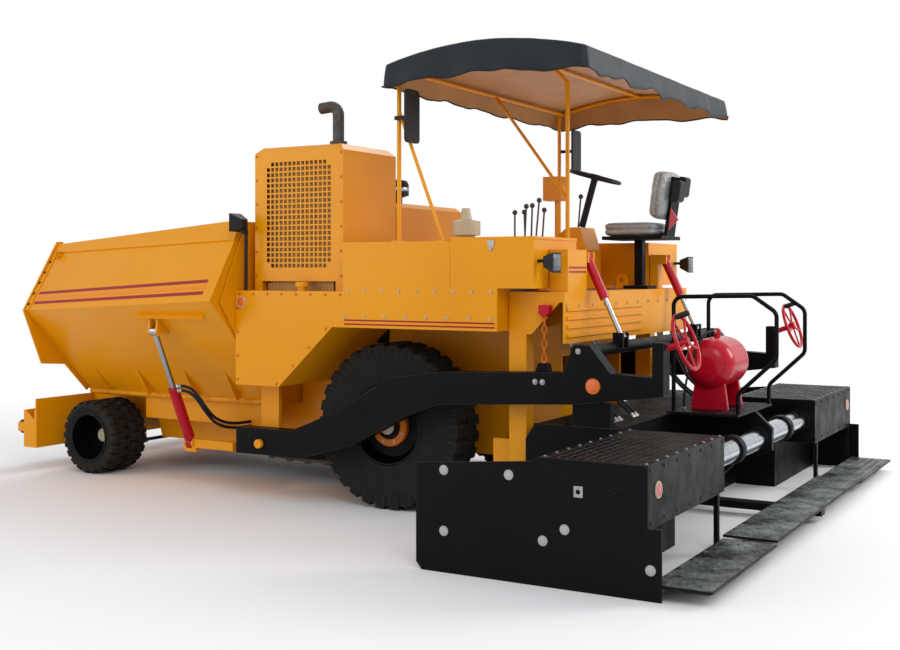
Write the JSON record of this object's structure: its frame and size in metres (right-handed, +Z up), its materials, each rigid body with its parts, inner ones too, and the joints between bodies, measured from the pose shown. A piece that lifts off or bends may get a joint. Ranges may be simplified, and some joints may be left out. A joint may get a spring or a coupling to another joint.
{
  "type": "wheeled asphalt paver",
  "caption": "Wheeled asphalt paver: folding hopper and push rollers in front, engine hood, canopied operator platform, augers and an extending heated screed behind",
  "frame": {"origin": "on the ground, at the middle of the machine's whole length and width with the screed extended", "axes": "+X forwards to the hopper, +Y to the machine's left, +Z up"},
  "size_m": [6.0008, 4.528, 2.935],
  "materials": {
    "yellow_paint": "gloss enamel",
    "black_paint": "satin enamel",
    "red_paint": "gloss enamel",
    "tyre_rubber": "moulded rubber",
    "worn_steel": "worn rolled steel",
    "hard_chrome": "ground and chromed",
    "engine_iron": "painted casting",
    "core_brass": "finned core",
    "canopy_vinyl": "coated fabric",
    "seat_vinyl": "grained vinyl",
    "black_plastic": "moulded",
    "filter_steel": "enamel"
  },
  "bodies": {
    "tractor": {"chassis_frame": "yellow_paint", "side_brackets": "yellow_paint", "axles": "yellow_paint", "hopper_base": "yellow_paint", "conveyors": "worn_steel", "front_beam": "yellow_paint", "engine_block": "engine_iron", "radiator_hood": "yellow_paint", "radiator_core": "core_brass", "engine_cover": "yellow_paint", "exhaust_pipe": "worn_steel", "filters": "filter_steel", "front_tanks": "yellow_paint", "rear_tanks": "yellow_paint", "tool_box": "yellow_paint", "operator_deck": "yellow_paint", "rear_posts": "yellow_paint", "control_console": "yellow_paint", "steering_wheel": "black_plastic", "control_levers": "worn_steel", "seat_frame": "black_paint", "seat_cushions": "seat_vinyl", "canopy_frame": "yellow_paint", "canopy_cover": "canopy_vinyl", "lamps_and_mirrors": "black_plastic", "lifting_lugs": "yellow_paint"},
    "push_rollers": {"push_rollers": "worn_steel"},
    "tool_box_lid": {"tool_box_lid": "yellow_paint"},
    "knuckle_left": {"knuckle_left": "yellow_paint"},
    "front_wheel_left": {"front_tyres_left": "tyre_rubber", "front_hub_left": "black_paint"},
    "rear_wheel_left": {"rear_tyre_left": "tyre_rubber", "rear_hub_left": "black_paint"},
    "wing_left": {"wing_left": "yellow_paint"},
    "wing_barrel_left": {"wing_barrel_left": "red_paint"},
    "wing_rod_left": {"wing_rod_left": "hard_chrome"},
    "knuckle_right": {"knuckle_right": "yellow_paint"},
    "front_wheel_right": {"front_tyres_right": "tyre_rubber", "front_hub_right": "black_paint"},
    "rear_wheel_right": {"rear_tyre_right": "tyre_rubber", "rear_hub_right": "black_paint"},
    "wing_right": {"wing_right": "yellow_paint"},
    "wing_barrel_right": {"wing_barrel_right": "red_paint"},
    "wing_rod_right": {"wing_rod_right": "hard_chrome"},
    "tie_rod": {"tie_rod": "worn_steel"},
    "screed": {"tow_arms": "black_paint", "screed_body": "black_paint", "guide_tubes": "hard_chrome", "footboards": "black_paint", "burner_tank": "red_paint", "handwheels": "red_paint", "guard_rails": "black_paint"},
    "lift_barrels": {"lift_barrels": "red_paint"},
    "lift_rods": {"lift_rods": "hard_chrome"},
    "extension_left": {"extension_left": "black_paint", "end_plate_left": "black_paint"},
    "auger_left": {"auger_left": "worn_steel"},
    "extension_right": {"extension_right": "black_paint", "end_plate_right": "black_paint"},
    "auger_right": {"auger_right": "worn_steel"}
  },
  "joints": [
    {"name": "push_roller_spin", "type": "hinge", "parent": "tractor", "child": "push_rollers", "pos_m": [2.9455, 0, 0.33], "axis": [0, 1, 0], "continuous": true},
    {"name": "tool_box_lid_hinge", "type": "hinge", "parent": "tractor", "child": "tool_box_lid", "pos_m": [-1.0335, 0.945, 1.748], "axis": [0, 1, 0], "range_deg": [0, 95]},
    {"name": "steer_left", "type": "hinge", "parent": "tractor", "child": "knuckle_left", "pos_m": [2.2945, 0.56, 0.28], "axis": [0, 0, 1], "range_deg": [-20, 20]},
    {"name": "front_wheel_left_spin", "type": "hinge", "parent": "knuckle_left", "child": "front_wheel_left", "pos_m": [2.2945, 0.82, 0.28], "axis": [0, 1, 0], "continuous": true},
    {"name": "rear_wheel_left_spin", "type": "hinge", "parent": "tractor", "child": "rear_wheel_left", "pos_m": [-0.4495, 0.8975, 0.5425], "axis": [0, 1, 0], "continuous": true},
    {"name": "wing_left_fold", "type": "hinge", "parent": "tractor", "child": "wing_left", "pos_m": [1.5755, 0.77, 0.612], "axis": [1, 0, 0], "range_deg": [-40, 0]},
    {"name": "wing_barrel_left_turn", "type": "hinge", "parent": "tractor", "child": "wing_barrel_left", "pos_m": [1.2505, 1, 0.314], "axis": [1, 0, 0], "range_deg": [-37, 0]},
    {"name": "wing_rod_left_slide", "type": "slide", "parent": "wing_barrel_left", "child": "wing_rod_left", "axis": [0, 0.4103, 0.912], "range_m": [-0.2549, 0]},
    {"name": "steer_right", "type": "hinge", "parent": "tractor", "child": "knuckle_right", "pos_m": [2.2945, -0.56, 0.28], "axis": [0, 0, 1], "range_deg": [-20, 20]},
    {"name": "front_wheel_right_spin", "type": "hinge", "parent": "knuckle_right", "child": "front_wheel_right", "pos_m": [2.2945, -0.82, 0.28], "axis": [0, 1, 0], "continuous": true},
    {"name": "rear_wheel_right_spin", "type": "hinge", "parent": "tractor", "child": "rear_wheel_right", "pos_m": [-0.4495, -0.8975, 0.5425], "axis": [0, 1, 0], "continuous": true},
    {"name": "wing_right_fold", "type": "hinge", "parent": "tractor", "child": "wing_right", "pos_m": [1.5755, -0.77, 0.612], "axis": [-1, 0, 0], "range_deg": [-40, 0]},
    {"name": "wing_barrel_right_turn", "type": "hinge", "parent": "tractor", "child": "wing_barrel_right", "pos_m": [1.2505, -1, 0.314], "axis": [-1, 0, 0], "range_deg": [-37, 0]},
    {"name": "wing_rod_right_slide", "type": "slide", "parent": "wing_barrel_right", "child": "wing_rod_right", "axis": [0, -0.4103, 0.912], "range_m": [-0.2549, 0]},
    {"name": "tie_rod_turn", "type": "hinge", "parent": "knuckle_left", "child": "tie_rod", "pos_m": [2.1445, 0.54, 0.2187], "axis": [0, 0, 1], "range_deg": [-20, 20]},
    {"name": "screed_lift", "type": "hinge", "parent": "tractor", "child": "screed", "pos_m": [0.4455, 0, 0.392], "axis": [0, 1, 0], "range_deg": [0, 5]},
    {"name": "lift_barrels_turn", "type": "hinge", "parent": "tractor", "child": "lift_barrels", "pos_m": [-1.7115, 0, 1.638], "axis": [0, 1, 0], "range_deg": [0, 3.33]},
    {"name": "lift_rods_slide", "type": "slide", "parent": "lift_barrels", "child": "lift_rods", "axis": [-0.4233, 0, -0.906], "range_m": [-0.218, 0]},
    {"name": "extension_left_slide", "type": "slide", "parent": "screed", "child": "extension_left", "axis": [0, 1, 0], "range_m": [-1, 0]},
    {"name": "auger_left_spin", "type": "hinge", "parent": "tractor", "child": "auger_left", "pos_m": [-1.2995, 0.5, 0.32], "axis": [0, 1, 0], "continuous": true},
    {"name": "extension_right_slide", "type": "slide", "parent": "screed", "child": "extension_right", "axis": [0, -1, 0], "range_m": [-1, 0]},
    {"name": "auger_right_spin", "type": "hinge", "parent": "tractor", "child": "auger_right", "pos_m": [-1.2995, -0.5, 0.32], "axis": [0, 1, 0], "continuous": true}
  ],
  "couplings": [
    {"joint": "wing_barrel_left_turn", "follows": "wing_left_fold", "ratio": 0.91898},
    {"joint": "wing_rod_left_slide", "follows": "wing_left_fold", "m_per_rad": 0.36367},
    {"joint": "wing_barrel_right_turn", "follows": "wing_right_fold", "ratio": 0.91898},
    {"joint": "wing_rod_right_slide", "follows": "wing_right_fold", "m_per_rad": 0.36367},
    {"joint": "steer_right", "follows": "steer_left", "ratio": 1},
    {"joint": "tie_rod_turn", "follows": "steer_left", "ratio": -1},
    {"joint": "lift_barrels_turn", "follows": "screed_lift", "ratio": 0.66625},
    {"joint": "lift_rods_slide", "follows": "screed_lift", "m_per_rad": -2.4863}
  ]
}
